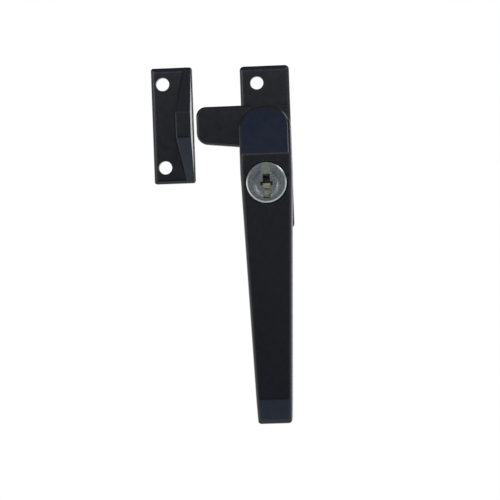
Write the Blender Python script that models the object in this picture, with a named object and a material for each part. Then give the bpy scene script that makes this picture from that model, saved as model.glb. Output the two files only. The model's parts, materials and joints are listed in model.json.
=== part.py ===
"""Key-locking casement window fastener with its wedge striker.

Metres, +Z up. X runs across the base plate, +Y goes into the window frame, so every
piece stands on the plane y = 0 and grows towards -Y. A depth here is a distance in
front of that plane. The origin is the middle of the base plate's back face.
"""

import math

import bmesh
import bpy
from mathutils import Matrix, Vector

mm = 0.001

# Fits
gap = 0.3 * mm
running_gap = 0.15 * mm
round_steps = 48

# Base plate
base_width = 19.4 * mm
base_thickness = 3.0 * mm
base_corner = 1.6 * mm
base_edge = 0.9 * mm
fixing_spacing = 50.8 * mm
fixing_end_margin = 6.65 * mm
fixing_hole = 5.1 * mm
fixing_shift = -3.1 * mm
hole_edge_break = 0.4 * mm
screw_head_room = 2.0 * mm

# Pivot
pivot_height = 6.5 * mm
pivot_boss_rise = 3.4 * mm
pivot_boss_wall = 1.7 * mm
rivet_radius = 3.0 * mm
rivet_head_overhang = 1.4 * mm
rivet_head_thickness = 1.0 * mm
rivet_head_sink = 0.5 * mm
rivet_in_lever = 5.2 * mm
bearing_washer_thickness = 0.5 * mm
backing_washer_thickness = 0.5 * mm
wave_washer_thickness = 0.2 * mm
wave_washer_rise = 0.2 * mm

# Tongue, which reaches over the striker's wedge
tongue_reach = 26.8 * mm
tongue_thickness = 5.0 * mm
tongue_above_pivot = 9.45 * mm
tongue_tip_below_pivot = 4.8 * mm
tongue_shoulder = 6.0 * mm
tongue_shoulder_corner = 2.5 * mm
tongue_eye_wall = 1.2 * mm
tongue_top_corner = 3.8 * mm
tongue_bottom_corner = 4.4 * mm
tongue_edge = 1.1 * mm
spigot_wall = 1.15 * mm

# Lock
lock_below_pivot = 21.25 * mm
rotor_radius = 6.2 * mm
rotor_clearance = 0.15 * mm
barrel_wall = 1.4 * mm
face_thickness = 1.4 * mm
face_proud = 0.4 * mm
face_chamfer = 0.6 * mm
face_dish_radius = 5.4 * mm
face_dish_slope_width = 1.4 * mm
face_dish_depth = 0.45 * mm
face_dish_drop = 0.3 * mm
face_channel_width = 3.9 * mm
face_channel_depth = 0.5 * mm
tower_wall = 1.25 * mm
barrel_end_past_tower = 1.4 * mm
rotor_end_past_barrel = 1.3 * mm
clip_thickness = 0.4 * mm
clip_opening = math.radians(70)
barrel_groove_depth = 0.75 * mm
rotor_groove_depth = 0.6 * mm
keyway_width = 2.7 * mm
keyway_above = 3.25 * mm
keyway_below = 5.95 * mm
key_ward_depth = 1.0 * mm
wafer_count = 5
wafer_pitch = 1.3 * mm
wafer_thickness = 0.5 * mm
wafer_width = 5.2 * mm
wafer_play = 0.2 * mm
wafer_tab = 1.7 * mm
wafer_window_width = 3.0 * mm
wafer_window_height = 3.8 * mm
wafer_window_low = -0.2 * mm
wafer_cuts = (0.0, -0.4 * mm, -0.7 * mm, -0.2 * mm, -0.5 * mm)
first_wafer_behind_face = 2.9 * mm
bolt_behind_last_wafer = 1.7 * mm
spring_coil_radius = 0.45 * mm
spring_wire_radius = 0.12 * mm
spring_turns = 3.5
spring_low = -3.4 * mm
spring_high = 0.2 * mm
bolt_radius = 2.4 * mm
keeper_engagement = 1.6 * mm
guide_pin_radius = 0.7 * mm
guide_pin_below_bolt_head = 1.0 * mm
guide_pin_above_rotor_end = 5.0 * mm
key_turn = math.radians(90)

# Lever
lever_wall_beside_lock = 1.95 * mm
lever_above_pivot = 8.7 * mm
lever_below_pivot = 113.5 * mm
lever_tip_width = 13.3 * mm
lever_parallel_below_pivot = 17.5 * mm
lever_draft = 0.12 * mm
lever_edge = 1.5 * mm
head_corner = 8.7 * mm
tip_corner = 1.4 * mm
upper_crease_below_pivot = 10.3 * mm
upper_slope = math.radians(9)
lower_crease_above_tip = 9.8 * mm
lower_slope = math.radians(10)
lever_wall = 2.3 * mm
lever_solid_below_lock = 23.0 * mm

# Striker
striker_thickness = 3.0 * mm
striker_corner = 1.0 * mm
striker_edge = 0.5 * mm
striker_hole = 5.2 * mm
striker_hole_spacing = 32.9 * mm
striker_hole_end_margin = 6.4 * mm
striker_hole_from_edge = 4.5 * mm
striker_hole_to_wedge = 1.5 * mm
striker_gap_to_tongue = 1.8 * mm
striker_above_base = 9.8 * mm
wedge_rise = 5.0 * mm
wedge_plateau = 9.8 * mm
wedge_width = 7.5 * mm
wedge_end_width = 3.2 * mm
wedge_inset = 0.1 * mm
wedge_end_inset = 0.35 * mm
wedge_draft = math.radians(5)
wedge_left_lean = 1.05 * mm
wedge_wall = 1.8 * mm

# Radii and widths that follow from what they hold
rivet_head_radius = rivet_radius + rivet_head_overhang
counterbore_radius = rivet_head_radius + gap
pivot_boss_radius = counterbore_radius + pivot_boss_wall
spigot_side = 2 * (rivet_radius + running_gap + spigot_wall)
tongue_eye_radius = (spigot_side / 2 + gap) * math.sqrt(2) + tongue_eye_wall
barrel_bore = rotor_radius + rotor_clearance
face_radius = barrel_bore + barrel_wall
lever_bore = face_radius + gap
lever_width = 2 * (lever_bore + lever_wall_beside_lock)
keeper_radius = bolt_radius + gap
wafer_half_height = math.sqrt((rotor_radius - 0.1 * mm) ** 2 - (wafer_width / 2) ** 2)
base_height = fixing_spacing + 2 * fixing_end_margin
striker_height = striker_hole_spacing + 2 * striker_hole_end_margin
striker_width = (
    striker_hole_from_edge + striker_hole / 2 + striker_hole_to_wedge + wedge_width + wedge_inset
)

# Depths in front of the window frame, from the back to the front
rivet_head_front = rivet_head_sink + rivet_head_thickness
backing_washer_back = rivet_head_front + gap
backing_washer_front = backing_washer_back + backing_washer_thickness
wave_washer_half = wave_washer_rise + wave_washer_thickness / 2
wave_washer_middle = backing_washer_front + gap + wave_washer_half
counterbore_depth = wave_washer_middle + wave_washer_half + gap
boss_front = base_thickness + pivot_boss_rise
bearing_washer_back = boss_front + gap
tongue_back = bearing_washer_back + bearing_washer_thickness + gap
tongue_front = tongue_back + tongue_thickness
lever_back = tongue_front + gap
rotor_end = base_thickness + screw_head_room
bolt_travel = screw_head_room + keeper_engagement
barrel_end = rotor_end + rotor_end_past_barrel
tower_end = barrel_end + barrel_end_past_tower
guide_pin_depth = rotor_end + guide_pin_above_rotor_end + bolt_travel
bolt_head = guide_pin_depth + guide_pin_below_bolt_head
keyway_end = bolt_head + 4 * gap
last_wafer_depth = bolt_head + bolt_behind_last_wafer
first_wafer_depth = last_wafer_depth + (wafer_count - 1) * wafer_pitch
lock_face_front = first_wafer_depth + first_wafer_behind_face
face_back = lock_face_front - face_thickness
barrel_front = face_back - gap
lever_projection = lock_face_front - face_proud

# Heights
lock_height = pivot_height - lock_below_pivot


def clear_scene():
    for thing in list(bpy.data.objects):
        bpy.data.objects.remove(thing, do_unlink=True)


def finish(name, colour, roughness, metallic):
    material = bpy.data.materials.new(name)
    material.use_nodes = True
    shader = material.node_tree.nodes["Principled BSDF"]
    shader.inputs["Base Color"].default_value = (*colour, 1)
    shader.inputs["Roughness"].default_value = roughness
    shader.inputs["Metallic"].default_value = metallic
    material.diffuse_color = (*colour, 1)
    return material


def axis_empty(name, height, parent=None):
    """An empty on a joint's axis; the pieces that turn about it are its children."""
    empty = bpy.data.objects.new(name, None)
    bpy.context.scene.collection.objects.link(empty)
    empty.empty_display_size = 5 * mm
    empty.parent = parent
    empty.location = (0, 0, height - (parent.location.z if parent else 0))
    return empty


def as_object(name, bm, axis, material=None):
    """An object from the bmesh, in the frame of the empty it belongs to."""
    bmesh.ops.remove_doubles(bm, verts=bm.verts, dist=1e-7)
    bmesh.ops.recalc_face_normals(bm, faces=bm.faces)
    mesh = bpy.data.meshes.new(name)
    bm.to_mesh(mesh)
    bm.free()
    thing = bpy.data.objects.new(name, mesh)
    bpy.context.scene.collection.objects.link(thing)
    thing.parent = axis
    mesh.shade_smooth()
    mesh.set_sharp_from_angle(angle=math.radians(35))
    if material:
        mesh.materials.append(material)
    return thing


def rounded(corners, steps=6):
    """An outline with arcs in its corners, from (x, z, radius) going round once."""
    points = []
    for i, (x, z, radius) in enumerate(corners):
        corner = Vector((x, z))
        if radius <= 0:
            points.append((x, z))
            continue
        before = Vector(corners[i - 1][:2]) - corner
        after = Vector(corners[(i + 1) % len(corners)][:2]) - corner
        before.normalize()
        after.normalize()
        half = before.angle(after) / 2
        centre = corner + (before + after).normalized() * (radius / math.sin(half))
        first = corner + before * (radius / math.tan(half)) - centre
        last = corner + after * (radius / math.tan(half)) - centre
        turn = first.angle_signed(last)
        for step in range(steps + 1):
            spoke = first.copy()
            spoke.rotate(Matrix.Rotation(-turn * step / steps, 2))
            points.append(tuple(centre + spoke))
    return points


def rectangle(x0, x1, z0, z1, radius=0.0, steps=4):
    corners = [(x0, z0, radius), (x1, z0, radius), (x1, z1, radius), (x0, z1, radius)]
    return rounded(corners, steps)


def disc(radius, x=0.0, z=0.0, steps=round_steps):
    turns = [2 * math.pi * i / steps for i in range(steps)]
    return [(x + radius * math.cos(a), z + radius * math.sin(a)) for a in turns]


def prism_mesh(outline, back, front):
    """A closed block with the outline (x, z), between two depths."""
    bm = bmesh.new()
    face = bm.faces.new([bm.verts.new((x, -back, z)) for x, z in outline])
    grown = bmesh.ops.extrude_face_region(bm, geom=[face])["geom"]
    moved = [v for v in grown if isinstance(v, bmesh.types.BMVert)]
    bmesh.ops.translate(bm, verts=moved, vec=(0, back - front, 0))
    bmesh.ops.recalc_face_normals(bm, faces=bm.faces)
    return bm


def prism(name, outline, back, front, axis, material=None):
    return as_object(name, prism_mesh(outline, back, front), axis, material)


def turned(name, profile, axis, material=None, closed=False, x=0.0, z=0.0):
    """A piece turned about the line through (x, z) along Y, from (radius, depth) points."""
    bm = bmesh.new()
    verts = [bm.verts.new((radius, -depth, 0)) for radius, depth in profile]
    pairs = list(zip(verts, verts[1:]))
    if closed:
        pairs.append((verts[-1], verts[0]))
    edges = [bm.edges.new(pair) for pair in pairs]
    bmesh.ops.spin(
        bm, geom=verts + edges, cent=(0, 0, 0), axis=(0, 1, 0), dvec=(0, 0, 0),
        angle=2 * math.pi, steps=round_steps, use_merge=True, use_duplicate=False,
    )
    bmesh.ops.translate(bm, verts=bm.verts, vec=(x, 0, z))
    return as_object(name, bm, axis, material)


def bevel_edges(bm, wanted, width, segments):
    """Rounds the edges that wanted(face, face) picks."""
    edges = [e for e in bm.edges if len(e.link_faces) == 2 and wanted(*e.link_faces)]
    bmesh.ops.bevel(
        bm, geom=edges, offset=width, offset_type="OFFSET", segments=segments,
        profile=0.5, affect="EDGES", clamp_overlap=True,
    )


def front_edge(one, other):
    """True for an edge between a front-facing face and a side wall."""
    lean = sorted((one.normal.y, other.normal.y))
    return lean[0] < -0.9 and abs(lean[1]) < 0.3


def outer_edge(one, other):
    """True for an edge between a front or back face and a side wall."""
    lean = sorted((abs(one.normal.y), abs(other.normal.y)))
    return lean[0] < 0.3 and lean[1] > 0.9


def combine(target, other, operation):
    other.hide_render = True
    other.display_type = "WIRE"
    modifier = target.modifiers.new(f"{operation.lower()} {other.name}", "BOOLEAN")
    modifier.operation = operation
    modifier.solver = "EXACT"
    modifier.object = other


def cut(target, *cutters):
    for cutter in cutters:
        combine(target, cutter, "DIFFERENCE")


def add(target, *others):
    for other in others:
        combine(target, other, "UNION")


def fixing_cutter(name, radius, front, x, z, axis=None):
    """A round hole with its front edge broken."""
    profile = [
        (0, -gap), (radius, -gap), (radius, front - hole_edge_break),
        (radius + hole_edge_break + gap, front + gap), (0, front + gap),
    ]
    return turned(name, profile, axis, x=x, z=z)


def split_ring(inner, outer, steps=28):
    """The outline of a C-shaped clip, open downwards."""
    start = -math.pi / 2 + clip_opening / 2
    sweep = 2 * math.pi - clip_opening
    turns = [start + sweep * i / steps for i in range(steps + 1)]
    outside = [(outer * math.cos(a), outer * math.sin(a)) for a in turns]
    inside = [(inner * math.cos(a), inner * math.sin(a)) for a in reversed(turns)]
    return outside + inside


# The pieces that stay on the window

def base_plate(material):
    half = base_width / 2
    outline = rectangle(-half, half, -base_height / 2, base_height / 2, base_corner)
    bm = prism_mesh(outline, 0, base_thickness)
    bevel_edges(bm, front_edge, base_edge, 3)
    plate = as_object("base_plate", bm, None, material)
    boss = prism(
        "pivot_boss", disc(pivot_boss_radius, z=pivot_height),
        base_thickness / 2, boss_front, None,
    )
    bore = rivet_radius + running_gap
    stepped = [
        (0, -gap), (counterbore_radius, -gap), (counterbore_radius, counterbore_depth),
        (bore, counterbore_depth), (bore, boss_front + gap), (0, boss_front + gap),
    ]
    add(plate, boss)
    cut(plate, turned("pivot_bore", stepped, None, z=pivot_height))
    keeper = disc(keeper_radius, z=lock_height, steps=32)
    cut(plate, prism("keeper_hole", keeper, -gap, base_thickness + gap, None))
    for side, name in ((1, "upper_fixing"), (-1, "lower_fixing")):
        place = side * fixing_spacing / 2
        cut(plate, fixing_cutter(name, fixing_hole / 2, base_thickness, fixing_shift, place))
    return plate


def wedge_mesh(left, right, low, high):
    """A block with a level top between two ramps, leaning in at both sides."""
    foot = striker_thickness / 2
    plate = striker_thickness
    top = plate + wedge_rise
    middle = (low + high) / 2
    near = middle - wedge_plateau / 2
    far = middle + wedge_plateau / 2
    lean = math.tan(wedge_draft)
    end_left = right - wedge_end_width
    points = []
    for z in (near, far):
        points.append((left + wedge_left_lean, top, z))
        points.append((right - top * lean, top, z))
        points.append((left, plate, z))
        points.append((left, foot, z))
    for z in (low, high):
        for depth in (foot, plate):
            points.append((end_left, depth, z))
            points.append((right - depth * lean, depth, z))
    bm = bmesh.new()
    for x, depth, z in points:
        bm.verts.new((x, -depth, z))
    hull = bmesh.ops.convex_hull(bm, input=bm.verts)
    spare = [v for v in hull["geom_interior"] if isinstance(v, bmesh.types.BMVert)]
    bmesh.ops.delete(bm, geom=spare, context="VERTS")
    bmesh.ops.dissolve_limit(bm, angle_limit=math.radians(0.5), verts=bm.verts, edges=bm.edges)
    return bm


def striker_plate(material):
    right = -(tongue_reach + striker_gap_to_tongue)
    left = right - striker_width
    low = striker_above_base - striker_height / 2
    high = striker_above_base + striker_height / 2
    bm = prism_mesh(rectangle(left, right, low, high, striker_corner), 0, striker_thickness)
    bevel_edges(bm, front_edge, striker_edge, 2)
    plate = as_object("striker_plate", bm, None, material)
    wedge_right = right - wedge_inset
    wedge_left = wedge_right - wedge_width
    wedge = wedge_mesh(wedge_left, wedge_right, low + wedge_end_inset, high - wedge_end_inset)
    add(plate, as_object("striker_wedge", wedge, None))
    core_left = wedge_left + wedge_left_lean + wedge_wall
    core_right = wedge_right - wedge_rise * math.tan(wedge_draft) - wedge_wall
    core = rectangle(
        core_left, core_right, striker_above_base - wedge_plateau / 2,
        striker_above_base + wedge_plateau / 2, 0.5 * mm,
    )
    roof = striker_thickness + wedge_rise - wedge_wall
    cut(plate, prism("striker_core", core, -gap, roof, None))
    for side, name in ((1, "striker_upper_hole"), (-1, "striker_lower_hole")):
        place = striker_above_base + side * striker_hole_spacing / 2
        middle = left + striker_hole_from_edge
        cut(plate, fixing_cutter(name, striker_hole / 2, striker_thickness, middle, place))
    return plate


def washer(name, inner, outer, back, front, material):
    profile = [(inner, back), (outer, back), (outer, front), (inner, front)]
    return turned(name, profile, None, material, closed=True, z=pivot_height)


def wave_washer(material):
    inner = rivet_radius + gap
    outer = rivet_head_radius
    half = wave_washer_thickness / 2
    low = wave_washer_middle - half
    ring = washer("wave_washer", inner, outer, low, low + wave_washer_thickness, material)
    for vert in ring.data.vertices:
        around = math.atan2(vert.co.z - pivot_height, vert.co.x)
        vert.co.y -= wave_washer_rise * math.sin(3 * around)
    return ring


# The pieces that turn with the lever; their frame is on the pivot

def lever_outline(inset):
    """The lever's outline seen from the front, drawn in by inset all round."""
    half = lever_width / 2 - inset
    tip = lever_tip_width / 2 - inset
    top = lever_above_pivot - inset
    bottom = -lever_below_pivot + inset
    shoulder = -lever_parallel_below_pivot
    head = head_corner - inset
    corner = tip_corner - inset / 2
    return rounded([(-half, top, head), (-half, shoulder, 0), (-tip, bottom, corner),
                    (tip, bottom, corner), (half, shoulder, 0), (half, top, head)], 8)


def lever_blank():
    """The lever's solid: drafted sides, and a front of three flats that meet in creases."""
    over = lever_projection + 2 * mm
    bm = bmesh.new()
    loops = []
    for inset, depth in ((0, lever_back), (lever_draft, over)):
        verts = [bm.verts.new((x, -depth, z)) for x, z in lever_outline(inset)]
        ring = [bm.edges.new((verts[i - 1], verts[i])) for i in range(len(verts))]
        bm.faces.new(verts)
        loops.extend(ring)
    bmesh.ops.bridge_loops(bm, edges=loops)
    bmesh.ops.recalc_face_normals(bm, faces=bm.faces)
    upper = -upper_crease_below_pivot
    lower = -lever_below_pivot + lower_crease_above_tip
    flats = (
        (upper, (0, -1, 0)),
        (upper, (0, -math.cos(upper_slope), math.sin(upper_slope))),
        (lower, (0, -math.cos(lower_slope), -math.sin(lower_slope))),
    )
    for height, normal in flats:
        bmesh.ops.bisect_plane(
            bm, geom=bm.verts[:] + bm.edges[:] + bm.faces[:], dist=1e-7,
            plane_co=(0, -lever_projection, height), plane_no=normal, clear_outer=True,
        )
        rim = [e for e in bm.edges if e.is_boundary]
        bmesh.ops.edgeloop_fill(bm, edges=rim)
        bmesh.ops.recalc_face_normals(bm, faces=bm.faces)
    bevel_edges(bm, front_edge, lever_edge, 3)
    return bm


def lever_handle(axis, material):
    lever = as_object("lever_handle", lever_blank(), axis, material)
    lock = -lock_below_pivot
    tower = disc(lever_bore + tower_wall, z=lock)
    side = spigot_side / 2
    spigot = rectangle(-side, side, -side, side, 0.4 * mm, 2)
    sunk = lever_back + 2 * mm
    add(
        lever,
        prism("lock_tower", tower, tower_end, sunk, axis),
        prism("drive_spigot", spigot, tongue_back + gap, sunk, axis),
    )
    top = lock - lever_solid_below_lock
    bottom = -lever_below_pivot + lever_wall
    tip = lever_tip_width / 2 - lever_wall
    slant = (lever_width - lever_tip_width) / 2 / (lever_below_pivot - lever_parallel_below_pivot)
    wide = tip + slant * (top - bottom)
    core = rounded([(-wide, top, 2 * mm), (-tip, bottom, 1 * mm), (tip, bottom, 1 * mm),
                    (wide, top, 2 * mm)], 3)
    roof = lever_projection - lever_wall - lower_crease_above_tip * math.tan(lower_slope)
    rivet_hole = rivet_radius + running_gap
    cut(
        lever,
        prism("lever_core", core, lever_back - gap, roof, axis),
        prism("lock_bore", disc(lever_bore, z=lock), tower_end - gap,
              lever_projection + 2 * mm, axis),
        prism("rivet_hole", disc(rivet_hole, steps=32), tongue_back - gap,
              lever_back + rivet_in_lever + gap, axis),
    )
    return lever


def spur_tongue(axis, material):
    """The tongue: a tapering arm on an eye with a square hole."""
    eye = []
    steps = 16
    for step in range(steps + 1):
        turn = math.pi / 2 - math.pi * step / steps
        eye.append((tongue_eye_radius * math.cos(turn), tongue_eye_radius * math.sin(turn), 0))
    corners = [
        (-tongue_reach, -tongue_tip_below_pivot, tongue_bottom_corner),
        (-tongue_reach, tongue_above_pivot, tongue_top_corner),
        (-tongue_shoulder, tongue_above_pivot, tongue_shoulder_corner),
        *eye,
    ]
    bm = prism_mesh(rounded(corners, 6), tongue_back, tongue_front)
    bevel_edges(bm, outer_edge, tongue_edge, 3)
    tongue = as_object("spur_tongue", bm, axis, material)
    side = spigot_side / 2 + gap
    hole = rectangle(-side, side, -side, side)
    cut(tongue, prism("tongue_square", hole, tongue_back - gap, tongue_front + gap, axis))
    return tongue


def pivot_rivet(axis, material):
    tip = lever_back + rivet_in_lever
    edge = 0.3 * mm
    profile = [
        (0, rivet_head_sink), (rivet_head_radius - edge, rivet_head_sink),
        (rivet_head_radius, rivet_head_sink + edge), (rivet_head_radius, rivet_head_front),
        (rivet_radius, rivet_head_front), (rivet_radius, tip - edge),
        (rivet_radius - edge, tip), (0, tip),
    ]
    return turned("pivot_rivet", profile, axis, material)


# The lock; its frame is on the key's axis

def lock_barrel(axis, material):
    outer = face_radius
    groove = outer - barrel_groove_depth
    clip_back = tower_end - 2 * gap - clip_thickness
    profile = [
        (barrel_bore, barrel_end), (outer, barrel_end), (outer, clip_back - running_gap),
        (groove, clip_back - running_gap), (groove, tower_end - gap),
        (outer, tower_end - gap), (outer, barrel_front), (barrel_bore, barrel_front),
    ]
    barrel = turned("lock_barrel", profile, axis, material, closed=True)
    half = wafer_width / 2 + wafer_play
    tall = barrel_bore + barrel_wall / 3
    broach = rectangle(-half, half, -tall, tall)
    wide = guide_pin_radius + gap
    slot = rectangle(rotor_radius / 2, outer + gap, -wide, wide)
    cut(
        barrel,
        prism("wafer_broach", broach, last_wafer_depth - wafer_pitch, barrel_front + gap, axis),
        prism("guide_slot", slot, guide_pin_depth - bolt_travel - guide_pin_radius - gap,
              guide_pin_depth + guide_pin_radius + gap, axis),
    )
    return barrel


def barrel_clip(axis, material):
    outline = split_ring(face_radius - barrel_groove_depth + running_gap, lever_bore + 0.9 * mm)
    front = tower_end - 2 * gap
    return prism("barrel_clip", outline, front - clip_thickness, front, axis, material)


def plug_clip(axis, material):
    outline = split_ring(rotor_radius - rotor_groove_depth + running_gap, rotor_radius + 1.0 * mm)
    front = barrel_end - gap
    return prism("plug_clip", outline, front - clip_thickness, front, axis, material)


def wafer_depth(index):
    """The depth of the middle of a wafer; wafer 0 is the one behind the face."""
    return first_wafer_depth - index * wafer_pitch


def wafer_side(index):
    """Springs sit on alternate sides, because neighbours are closer than a coil is wide."""
    return 1 if index % 2 == 0 else -1


def helical_slot(axis):
    """The cutter for the slot that drives the guide pin: level, then falling, then level."""
    inner = bolt_radius - running_gap
    outer = rotor_radius + gap
    half = guide_pin_radius + 0.5 * mm
    spare = math.radians(20)
    steps = 14
    bm = bmesh.new()
    rings = []
    for step in range(steps + 1):
        turn = -spare + (key_turn + 2 * spare) * step / steps
        share = min(max(turn / key_turn, 0), 1)
        middle = guide_pin_depth - bolt_travel * share
        ring = []
        for radius, depth in ((inner, -half), (outer, -half), (outer, half), (inner, half)):
            place = (radius * math.cos(turn), -(middle + depth), radius * math.sin(turn))
            ring.append(bm.verts.new(place))
        rings.append(ring)
    for one, other in zip(rings, rings[1:]):
        for i in range(4):
            bm.faces.new((one[i - 1], one[i], other[i], other[i - 1]))
    bm.faces.new(rings[0])
    bm.faces.new(rings[-1])
    return as_object("helical_slot", bm, axis)


def lock_plug(axis, material):
    neck = rotor_radius - rotor_groove_depth
    clip_front = barrel_end - gap
    clip_back = clip_front - clip_thickness
    profile = [
        (0, rotor_end), (rotor_radius, rotor_end), (rotor_radius, clip_back - 0.1 * mm),
        (neck, clip_back - 0.1 * mm), (neck, clip_front + 0.1 * mm),
        (rotor_radius, clip_front + 0.1 * mm), (rotor_radius, face_back),
        (face_radius, face_back), (face_radius, lock_face_front - face_chamfer),
        (face_radius - face_chamfer, lock_face_front), (0, lock_face_front),
    ]
    plug = turned("lock_plug", profile, axis, material)
    over = lock_face_front + gap
    key = keyway_width / 2
    dish_floor = lock_face_front - face_dish_depth
    dish = [(0, dish_floor), (face_dish_radius - face_dish_slope_width, dish_floor),
            (face_dish_radius, lock_face_front), (face_dish_radius, over), (0, over)]
    ward = key + key_ward_depth
    channel = face_channel_width / 2
    slot_half = wafer_width / 2 + wafer_play
    cut(
        plug,
        turned("face_dish", dish, axis, z=-face_dish_drop),
        prism("keyway", rectangle(-key, key, -keyway_below, keyway_above), keyway_end, over, axis),
        prism("key_ward", rectangle(-ward, ward, -1.1 * mm, 0.4 * mm), keyway_end, over, axis),
        prism("face_channel", rectangle(-channel, channel, keyway_above, face_radius),
              lock_face_front - face_channel_depth, over, axis),
        prism("bolt_bore", disc(bolt_radius + gap, steps=32), rotor_end - gap,
              bolt_head + gap, axis),
        helical_slot(axis),
    )
    for i in range(wafer_count):
        middle = wafer_depth(i)
        slot = wafer_thickness / 2 + wafer_play
        pocket = spring_coil_radius + spring_wire_radius + wafer_play
        side = wafer_side(i)
        inner = slot_half - 0.1 * mm
        outer = slot_half + wafer_tab + gap
        reach = sorted((side * inner, side * outer))
        cut(
            plug,
            prism(f"wafer_slot_{i + 1}",
                  rectangle(-slot_half, slot_half, -rotor_radius - gap, rotor_radius + gap),
                  middle - slot, middle + slot, axis),
            prism(f"spring_pocket_{i + 1}", rectangle(*reach, spring_low - gap, 1.8 * mm),
                  middle - pocket, middle + pocket, axis),
        )
    return plug


def wafer(index, axis, material):
    """A brass plate with a window for the key and a tab that its spring pushes."""
    half = wafer_width / 2
    tall = wafer_half_height
    side = wafer_side(index)
    tab = half + wafer_tab
    outline = [
        (-half, -tall), (half, -tall), (half, 0.5 * mm), (tab, 0.5 * mm),
        (tab, 1.5 * mm), (half, 1.5 * mm), (half, tall), (-half, tall),
    ]
    outline = [(side * x, z) for x, z in outline]
    middle = wafer_depth(index)
    back = middle - wafer_thickness / 2
    front = middle + wafer_thickness / 2
    plate = prism(f"wafer_{index + 1}", outline, back, front, axis, material)
    low = wafer_window_low + wafer_cuts[index]
    reach = wafer_window_width / 2
    window = rectangle(-reach, reach, low, low + wafer_window_height)
    cut(plate, prism(f"wafer_window_{index + 1}", window, back - gap, front + gap, axis))
    return plate


def wafer_spring(index, axis, material):
    """A small coil standing under its wafer's tab."""
    curve = bpy.data.curves.new(f"wafer_spring_{index + 1}", "CURVE")
    curve.dimensions = "3D"
    curve.bevel_depth = spring_wire_radius
    curve.bevel_resolution = 1
    curve.use_fill_caps = True
    steps = int(spring_turns * 9)
    spline = curve.splines.new("POLY")
    spline.points.add(steps)
    middle = wafer_side(index) * ((wafer_width + wafer_tab) / 2 + wafer_play)
    for step, point in enumerate(spline.points):
        turn = 2 * math.pi * spring_turns * step / steps
        across = middle + spring_coil_radius * math.cos(turn)
        deep = -wafer_depth(index) + spring_coil_radius * math.sin(turn)
        point.co = (across, deep, spring_low + (spring_high - spring_low) * step / steps, 1)
    curve.materials.append(material)
    coil = bpy.data.objects.new(curve.name, curve)
    bpy.context.scene.collection.objects.link(coil)
    coil.parent = axis
    return coil


def lock_bolt(axis, material):
    edge = 0.4 * mm
    profile = [
        (0, rotor_end), (bolt_radius - edge, rotor_end), (bolt_radius, rotor_end + edge),
        (bolt_radius, bolt_head), (0, bolt_head),
    ]
    bolt = turned("lock_bolt", profile, axis, material)
    hole = disc(guide_pin_radius + running_gap, steps=20)
    bolt_hole = cross_pin("bolt_cross_hole", hole, -bolt_radius - gap, bolt_radius + gap, axis)
    cut(bolt, bolt_hole)
    return bolt


def cross_pin(name, outline, start, end, axis, material=None):
    """A rod along X at the guide pin's depth."""
    bm = bmesh.new()
    ring = [bm.verts.new((start, -guide_pin_depth + a, b)) for a, b in outline]
    face = bm.faces.new(ring)
    grown = bmesh.ops.extrude_face_region(bm, geom=[face])["geom"]
    moved = [v for v in grown if isinstance(v, bmesh.types.BMVert)]
    bmesh.ops.translate(bm, verts=moved, vec=(end - start, 0, 0))
    return as_object(name, bm, axis, material)


def bolt_guide_pin(axis, material):
    outline = disc(guide_pin_radius, steps=20)
    inner_end = running_gap - bolt_radius
    return cross_pin("bolt_guide_pin", outline, inner_end, face_radius - gap, axis, material)


def build():
    clear_scene()
    black = finish("black_powder_coat", (0.012, 0.013, 0.017), 0.32, 0.0)
    nickel = finish("satin_nickel", (0.42, 0.42, 0.41), 0.28, 1.0)
    brass = finish("brass", (0.62, 0.46, 0.2), 0.3, 1.0)
    steel = finish("zinc_plated_steel", (0.5, 0.5, 0.5), 0.35, 1.0)
    nylon = finish("white_nylon", (0.75, 0.74, 0.7), 0.5, 0.0)
    pivot = axis_empty("handle_pivot", pivot_height)
    lock = axis_empty("lock_axis", lock_height, pivot)
    base_plate(black)
    striker_plate(black)
    inner = rivet_radius + gap
    washer("bearing_washer", inner, pivot_boss_radius - gap, bearing_washer_back,
           bearing_washer_back + bearing_washer_thickness, nylon)
    washer("backing_washer", inner, rivet_head_radius, backing_washer_back,
           backing_washer_front, steel)
    wave_washer(steel)
    lever_handle(pivot, black)
    spur_tongue(pivot, black)
    pivot_rivet(pivot, steel)
    lock_barrel(lock, nickel)
    barrel_clip(lock, steel)
    lock_plug(lock, nickel)
    plug_clip(lock, steel)
    for index in range(wafer_count):
        wafer(index, lock, brass)
        wafer_spring(index, lock, steel)
    lock_bolt(lock, steel)
    bolt_guide_pin(lock, steel)


build()
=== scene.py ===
import json
import math

import bmesh
import bpy
from mathutils import Matrix, Vector


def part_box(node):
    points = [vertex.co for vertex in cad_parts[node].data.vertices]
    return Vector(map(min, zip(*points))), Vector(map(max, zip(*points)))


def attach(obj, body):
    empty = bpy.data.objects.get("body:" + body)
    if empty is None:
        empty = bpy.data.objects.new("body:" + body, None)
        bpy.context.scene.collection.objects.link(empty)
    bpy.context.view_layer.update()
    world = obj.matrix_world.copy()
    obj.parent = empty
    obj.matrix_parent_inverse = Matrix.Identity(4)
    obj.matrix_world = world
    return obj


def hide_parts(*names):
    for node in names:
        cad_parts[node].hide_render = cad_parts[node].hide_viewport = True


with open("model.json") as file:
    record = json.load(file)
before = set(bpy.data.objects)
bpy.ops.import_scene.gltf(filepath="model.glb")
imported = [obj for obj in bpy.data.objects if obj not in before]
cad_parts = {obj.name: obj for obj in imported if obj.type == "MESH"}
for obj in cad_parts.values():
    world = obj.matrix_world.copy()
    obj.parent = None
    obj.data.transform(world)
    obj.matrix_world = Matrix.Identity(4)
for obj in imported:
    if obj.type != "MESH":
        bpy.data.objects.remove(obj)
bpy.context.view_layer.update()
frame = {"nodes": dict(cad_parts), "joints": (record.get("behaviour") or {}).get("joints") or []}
mm = 0.001
past = 1 * mm                      # how far a cutter reaches beyond what it opens
joints = {joint["name"]: joint for joint in frame["joints"]}
pivotZ = joints["handle_turn"]["pos_m"][2]
lockZ = joints["key_turn"]["pos_m"][2]
boltTravel = joints["bolt_slide"]["range_m"][1]
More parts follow.
